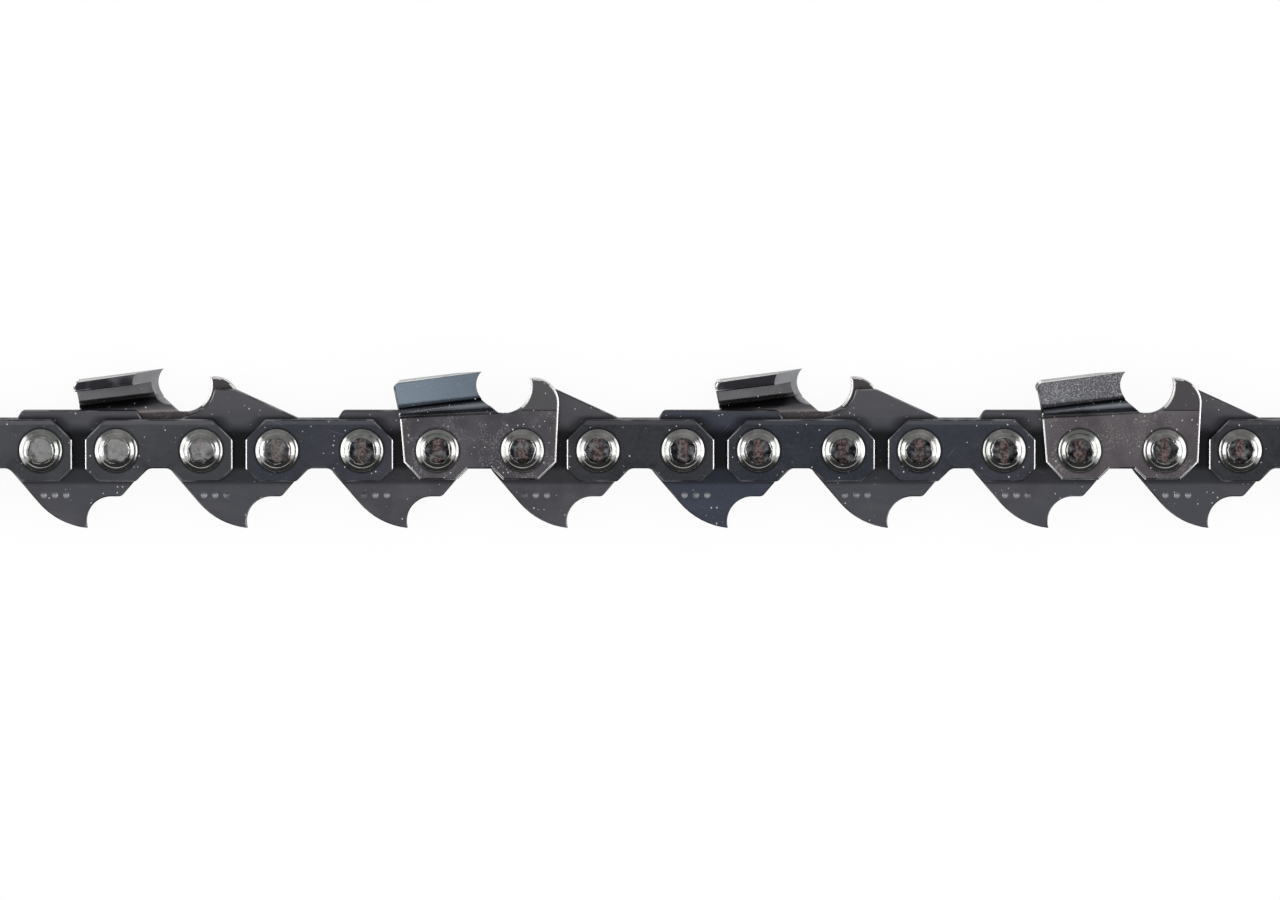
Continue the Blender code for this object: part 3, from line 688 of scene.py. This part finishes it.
# Cutter
cutter = {
    "outline": [(-2.1, -3.5), (2.28, -3.5), (3.59, -2.19), (6.5, -2.19), (7.81, -3.5), (11.99, -3.5),
                (14.13, -1.4), (14.4455, 5.4259), (11.4505, 5.6, 93.327), (11.3, 8.6), (10.9737, 8.5102),
                (7.85, 7.65, -117.426), (5.27, 6.11), (5.92, 10.73), (-3.27, 10.73), (-5.17, 7.548),
                (-4.53, 4.4)],
    "start": (-4.03, -1.4),
    "tip": (5.27, 9.43),
    "heelX": -5.17,
    "topSlope": 7.0,
    "overhang": 1.1,
    "taper": 0.2,
    "joggleLow": (4.40, 2.2),     # height over the rear rivet and slope in degrees
    "joggleHigh": (5.82, 7.2),
    "bend": 0.95,                 # radius of the sheet's middle line
    "edge": 0.24,
    "heelEdge": 0.3,
    "cornerRound": 0.34,          # of the corner between side plate and top plate
    "sheet": (-6.47, 7.85, -4.8),    # rear end, front end and foot of the sheet before it is cut
    "blank": (7.2, 18, 9.9),         # rear end, front end and top of the flat part before it is cut
    "outlineDepth": 14,
    "fileLength": 22,
    "upper": 6.5,                    # the top plate's edges lie above this
    "heelFoot": 4.6,                 # and the heel's dull edge above this
    "sharpZone": (5.0, 7.9, 4.0, 6.6),    # round the gullet's kink, where the bends run out
    "fileRadius": 2.6,
    "fileRise": 0.2,
    "fileAngle": 30,
}


def bentLine(bm, x, side):
    # The sheet's middle line at one place, from the foot up, outwards and over the top
    low, high = (height + x * math.tan(math.radians(slope))
                 for height, slope in (cutter["joggleLow"], cutter["joggleHigh"]))
    tipX, tipY = cutter["tip"]
    thick = chain["plateThick"]
    top = tipY - (tipX - x) * math.tan(math.radians(cutter["topSlope"])) - thick / 2
    out = chain["middleHeight"] - thick / 2 - cutter["taper"] * (tipX - x) / (tipX - cutter["heelX"])
    foot = cutter["sheet"][2]
    heights = ((foot, plateMiddle), (low, plateMiddle), (high, out), (top, out), (top, -cutter["overhang"]))
    verts = [bm.verts.new((x, y, side * z)) for y, z in heights]
    for pair in zip(verts, verts[1:]):
        bm.edges.new(pair)
    turns = [(after.co - vert.co).angle(vert.co - before.co)
             for before, vert, after in zip(verts, verts[1:], verts[2:])]
    for vert, turn in zip(verts[1:], turns[:2]):
        bmesh.ops.bevel(bm, geom=[vert], offset=cutter["bend"] * math.tan(turn / 2), segments=6,
                        profile=0.5, affect="VERTICES", material=-1)


def bentSheet(side):
    bm = bmesh.new()
    for x in cutter["sheet"][:2]:
        bentLine(bm, x, side)
    bmesh.ops.bridge_loops(bm, edges=bm.edges[:])
    return meshFrom(bm, "sheet")


def prism(strokes, start, thick, holes=()):
    bm = bmesh.new()
    drawLoop(bm, start, strokes)
    bmesh.ops.remove_doubles(bm, verts=bm.verts[:], dist=chain["penWeld"])
    holesIn(bm, holes, chain["plateHole"])
    thicken(bm, thick)
    for face in bm.faces:
        face.material_index = cutWall
    return meshFrom(bm, "prism")


def cutterMesh(side):
    sheet = bpy.data.objects.new("sheet", bentSheet(side))
    bpy.context.scene.collection.objects.link(sheet)
    solid = sheet.modifiers.new("Sheet", "SOLIDIFY")
    solid.thickness = chain["plateThick"]
    solid.offset = 0
    solid.use_even_offset = True
    mesh = tidied(applied(sheet))
    for number in range(punchedOrFiled + 1):
        mesh.materials.append(None)
    rear, front, top = cutter["blank"]
    foot = cutter["sheet"][2]
    blank = prism([(front, foot), (front, top), (rear, top)], (rear, foot), chain["plateThick"])
    mesh = cut(mesh, blank, Matrix.Translation((0, 0, side * plateMiddle)), "UNION")
    for polygon in mesh.polygons:
        polygon.material_index = flatSide
    outline = prism(cutter["outline"], cutter["start"], cutter["outlineDepth"],
                    [(0, 0), (chain["linkSpan"], 0)])
    mesh = cut(mesh, outline, Matrix.Identity(4), "INTERSECT")

    tipX, tipY = cutter["tip"]
    radius = cutter["fileRadius"]
    drop = radius - 2 * radius * cutter["fileRise"]
    angle = math.radians(cutter["fileAngle"])
    x = tipX + math.sqrt(radius ** 2 - drop ** 2) / math.cos(angle)
    place = Matrix.Translation((x, tipY - drop, side * chain["middleHeight"]))
    bm = bmesh.new()
    bmesh.ops.create_cone(bm, cap_ends=True, segments=96, radius1=radius, radius2=radius,
                          depth=cutter["fileLength"])
    for face in bm.faces:
        face.material_index = punchedOrFiled
    mesh = cut(mesh, meshFrom(bm, "file"), place @ Matrix.Rotation(side * angle, 4, "Y"), "DIFFERENCE")

    bm = bmesh.new()
    bm.from_mesh(mesh)
    for face in bm.faces:     # free edge of the top plate, as the press left it
        centre = face.calc_center_median()
        if (face.material_index == flatSide and face.normal.z * side < -0.9
                and centre.y > cutter["upper"] and centre.z * side < -1):
            face.material_index = cutWall
    square = [e for e in bm.edges if [f.material_index for f in e.link_faces] == [flatSide, flatSide]
              and e.calc_face_angle_signed(0) > math.radians(60)]
    bmesh.ops.bevel(bm, geom=square, offset=cutter["cornerRound"], segments=3, profile=0.5,
                    affect="EDGES", material=-1)
    rear, front, foot, top = cutter["sharpZone"]
    rims = [e for e in bm.edges if sorted(f.material_index for f in e.link_faces) == [flatSide, cutWall]
            and e.calc_face_angle(0) > math.radians(50)
            and not any(rear < v.co.x < front and foot < v.co.y < top for v in e.verts)]
    breakEdges(bm, rims, cutter["edge"], 3, 0.8)
    heel = [e for e in bm.edges if [f.material_index for f in e.link_faces] == [cutWall, cutWall]
            and e.calc_face_angle(0) > math.radians(50)
            and all(v.co.y > 6.2 and v.co.z * side < 0 and v.co.x < 0 for v in e.verts)]
    breakEdges(bm, heel, cutter["heelEdge"], 3, 0)
    for face in bm.faces:     # the heel's rims get the dull finish, and the top plate's corner and upper edges that face up get the bright finish, partly rubbed steel and partly a painted highlight
        centre = face.calc_center_median()
        if face.material_index == brightRim and centre.x < 0 and centre.y > cutter["heelFoot"]:
            face.material_index = dullRim
        if centre.y > cutter["upper"] and face.normal.y > 0.25 and (face.material_index == dullRim or (
                face.material_index == flatSide and face.normal.z * side > 0.25)):
            face.material_index = brightRim
    twins = {}                # a stray sliver of two faces back to back, left where the cuts meet
    for face in bm.faces:
        twins.setdefault(frozenset(face.verts), []).append(face)
    strays = [face for faces in twins.values() if len(faces) > 1 for face in faces]
    bmesh.ops.delete(bm, geom=strays, context="FACES")
    bm.to_mesh(mesh)
    bm.free()
    return mesh


print("cutters")
cutterShapes = {"near": cutterMesh(1), "far": cutterMesh(-1)}


def placed(x, offset=0):
    # At x along the chain, this far from its middle plane
    return Matrix.Translation((x, 0, chain["middleHeight"] + offset))


print("assembly")
for number in range(chain["pairs"] + 1):
    shape = bumperShape if number % 2 == 0 else supportShape
    steel = steels["bluedDriveLinkSteel" if number == bluedDrive else "driveLinkSteel"]
    finishPiece(f"driveLink{number}", shape, placed(driveX(number)),
                [steel, dullEdge, cutEdge, dullEdge, punched], f"drive_{number}", f"drive_link_{number}")

for pair in range(chain["pairs"]):
    body = f"link_pair_{pair}"
    for side, sign in (("near", 1), ("far", -1)):
        if cutterPairs.get(pair) == side:
            finishPiece(f"{side}Cutter{pair}", cutterShapes[side], placed(pairX(pair)),
                        [cutterFinishes[pair], rubbedEdgeAndGlint, cutEdge, dullEdge, filed], body,
                        f"{side}_cutter_{pair}")
        else:
            finishPiece(f"{side}Strap{pair}", strapShape, placed(pairX(pair), sign * plateMiddle),
                        [steels[strapFinish.get(pair, "strapSteel")], rubbedEdgeAndGlint, cutEdge, dullEdge],
                        body, f"{side}_tie_strap_{pair}")
    for end, x in (("rear", 0), ("front", chain["linkSpan"])):
        finishPiece(f"rivet{pair}{end}", rivetShape, placed(pairX(pair) + x), [headSteel], body,
                    f"rivet_{pair}_{end}")


# Floor, light and camera
studio = {
    "floorSize": 3.0,
    "floorTone": "f2f2f1",
    "floorShown": 0.93,       # share of plain white that the camera and reflections see in the floor
    "worldLight": 0.85,
    "boxSize": (0.6, 0.6),
    "boxPlace": (0.62, 0.05, 0.3),
    "boxPower": 2.4,
    # cards seen only in reflections: where they stand, turn, width, height, glow and the parts of
    # half the width and of the height at which their cloth thins out
    "flags": {
        "flagAbove": ((0, 0.36, 0.57), 0, 1.24, 1.1, 0.36, (0.7, 0.97), (0.66, 0.97)),
        "flagBelow": ((0, -0.36, 0.57), 0, 1.24, 1.1, 0.06, (0.7, 0.97), (0.66, 0.97)),
        "flagLeft": ((-0.45, 0, 0.73), 90, 0.72, 0.74, 0.1, (0.97, 1), (0.7, 0.97)),
        "flagRight": ((0.45, 0, 0.73), 90, 0.72, 0.74, 0.1, (0.97, 1), (0.7, 0.97)),
    },
    "lens": 200,
    "tilt": 3.5,
    "picturePixels": 1280,
    "pixelsPerMillimetre": 8.431,
    "middle": (-0.06, 0.06),
}


def seenRays(wire):
    # 1 for rays from the camera or from a reflection
    path = wire.node("ShaderNodeLightPath", {}, {}, "Is Camera Ray")
    return path.maths("MAXIMUM", path, Wire(path.tree, path.socket.node.outputs["Is Glossy Ray"]))


def floorMaterial():
    # Lit cloth that looks partly plain white
    material, shader, place = newMaterial("paleFloor")
    speckle = place.noise(60, 2.0).step(0.3, 0.7)
    plug(shader, "Base Color", speckle.between(tone(studio["floorTone"]), tone("efefee")))
    shader.inputs["Roughness"].default_value = 0.9
    shader.inputs["Specular IOR Level"].default_value = 0.1
    plain = place.node("ShaderNodeEmission", {}, {"Color": (1, 1, 1, 1), "Strength": 1})
    mixed = place.node("ShaderNodeMixShader", {}, {0: seenRays(place) * studio["floorShown"],
                                                   1: Wire(place.tree, shader.outputs["BSDF"]), 2: plain})
    plug(material.node_tree.nodes["Material Output"], "Surface", mixed)
    return material


def panel(name, width, height):
    bm = bmesh.new()
    bmesh.ops.create_grid(bm, x_segments=1, y_segments=1, size=0.5)
    bmesh.ops.scale(bm, verts=bm.verts[:], vec=(width, height, 1))
    thing = bpy.data.objects.new(name, meshFrom(bm, name))
    bpy.context.scene.collection.objects.link(thing)
    return thing


def flagCloth(name, glow, sideways, upwards):
    # Plain grey that the camera sees in reflections, thinning out at the sides and the top
    material, _, place = newMaterial(name)
    reach = place.axis("X")
    cover = (1 - reach.maths("ABSOLUTE", reach, 0).step(*sideways)) * (1 - place.axis("Y").step(*upwards))
    clear = place.node("ShaderNodeBsdfTransparent", {}, {})
    grey = place.node("ShaderNodeEmission", {}, {"Color": (glow, glow, glow, 1), "Strength": 1})
    plug(material.node_tree.nodes["Material Output"], "Surface",
         place.node("ShaderNodeMixShader", {}, {0: cover, 1: clear, 2: grey}))
    return material


print("studio")
floor = panel("floor", studio["floorSize"], studio["floorSize"])
floor.data.materials.append(floorMaterial())

for name, (where, degrees, width, height, glow, sideways, upwards) in studio["flags"].items():
    flag = panel(name, width, height)
    flag.location = where
    flag.rotation_euler = (math.radians(90), 0, math.radians(degrees))
    flag.data.materials.append(flagCloth(name, glow, [part * width / 2 for part in sideways],
                                         [(part - 0.5) * height for part in upwards]))
    flag.visible_camera = False
    flag.visible_diffuse = False
    flag.visible_shadow = False

for name, way in (("softboxLeft", -1), ("softboxRight", 1)):
    lamp = bpy.data.lights.new(name, "AREA")
    lamp.shape = "RECTANGLE"
    lamp.size, lamp.size_y = studio["boxSize"]
    lamp.energy = studio["boxPower"]
    thing = bpy.data.objects.new(name, lamp)
    thing.location = (way * studio["boxPlace"][0], *studio["boxPlace"][1:])
    thing.rotation_euler = (Vector((0, 0, 0)) - thing.location).to_track_quat("-Z", "Y").to_euler()
    thing.visible_camera = False
    bpy.context.scene.collection.objects.link(thing)

world = bpy.data.worlds.new("studio")
bpy.context.scene.world = world
world.use_nodes = True
light = Wire(world.node_tree)
seen = seenRays(light)
background = world.node_tree.nodes["Background"]
background.inputs["Color"].default_value = (1, 1, 1, 1)
plug(background, "Strength", seen * (1 - studio["worldLight"]) + studio["worldLight"])

camera = bpy.data.objects.new("camera", bpy.data.cameras.new("camera"))
bpy.context.scene.collection.objects.link(camera)
camera.data.lens = studio["lens"]
camera.data.sensor_width = 36
camera.data.clip_start = 0.01
camera.data.clip_end = 20
pictureWidth = studio["picturePixels"] / studio["pixelsPerMillimetre"] * mm
away = pictureWidth * camera.data.lens / camera.data.sensor_width
tilt = math.radians(studio["tilt"])
aim = Vector((*studio["middle"], chain["middleHeight"] + chain["plateInner"] + chain["plateThick"])) * mm
camera.location = aim + away * Vector((0, math.sin(tilt), math.cos(tilt)))
camera.rotation_euler = (-tilt, 0, 0)
bpy.context.scene.camera = camera
bpy.context.scene.view_settings.view_transform = "Standard"
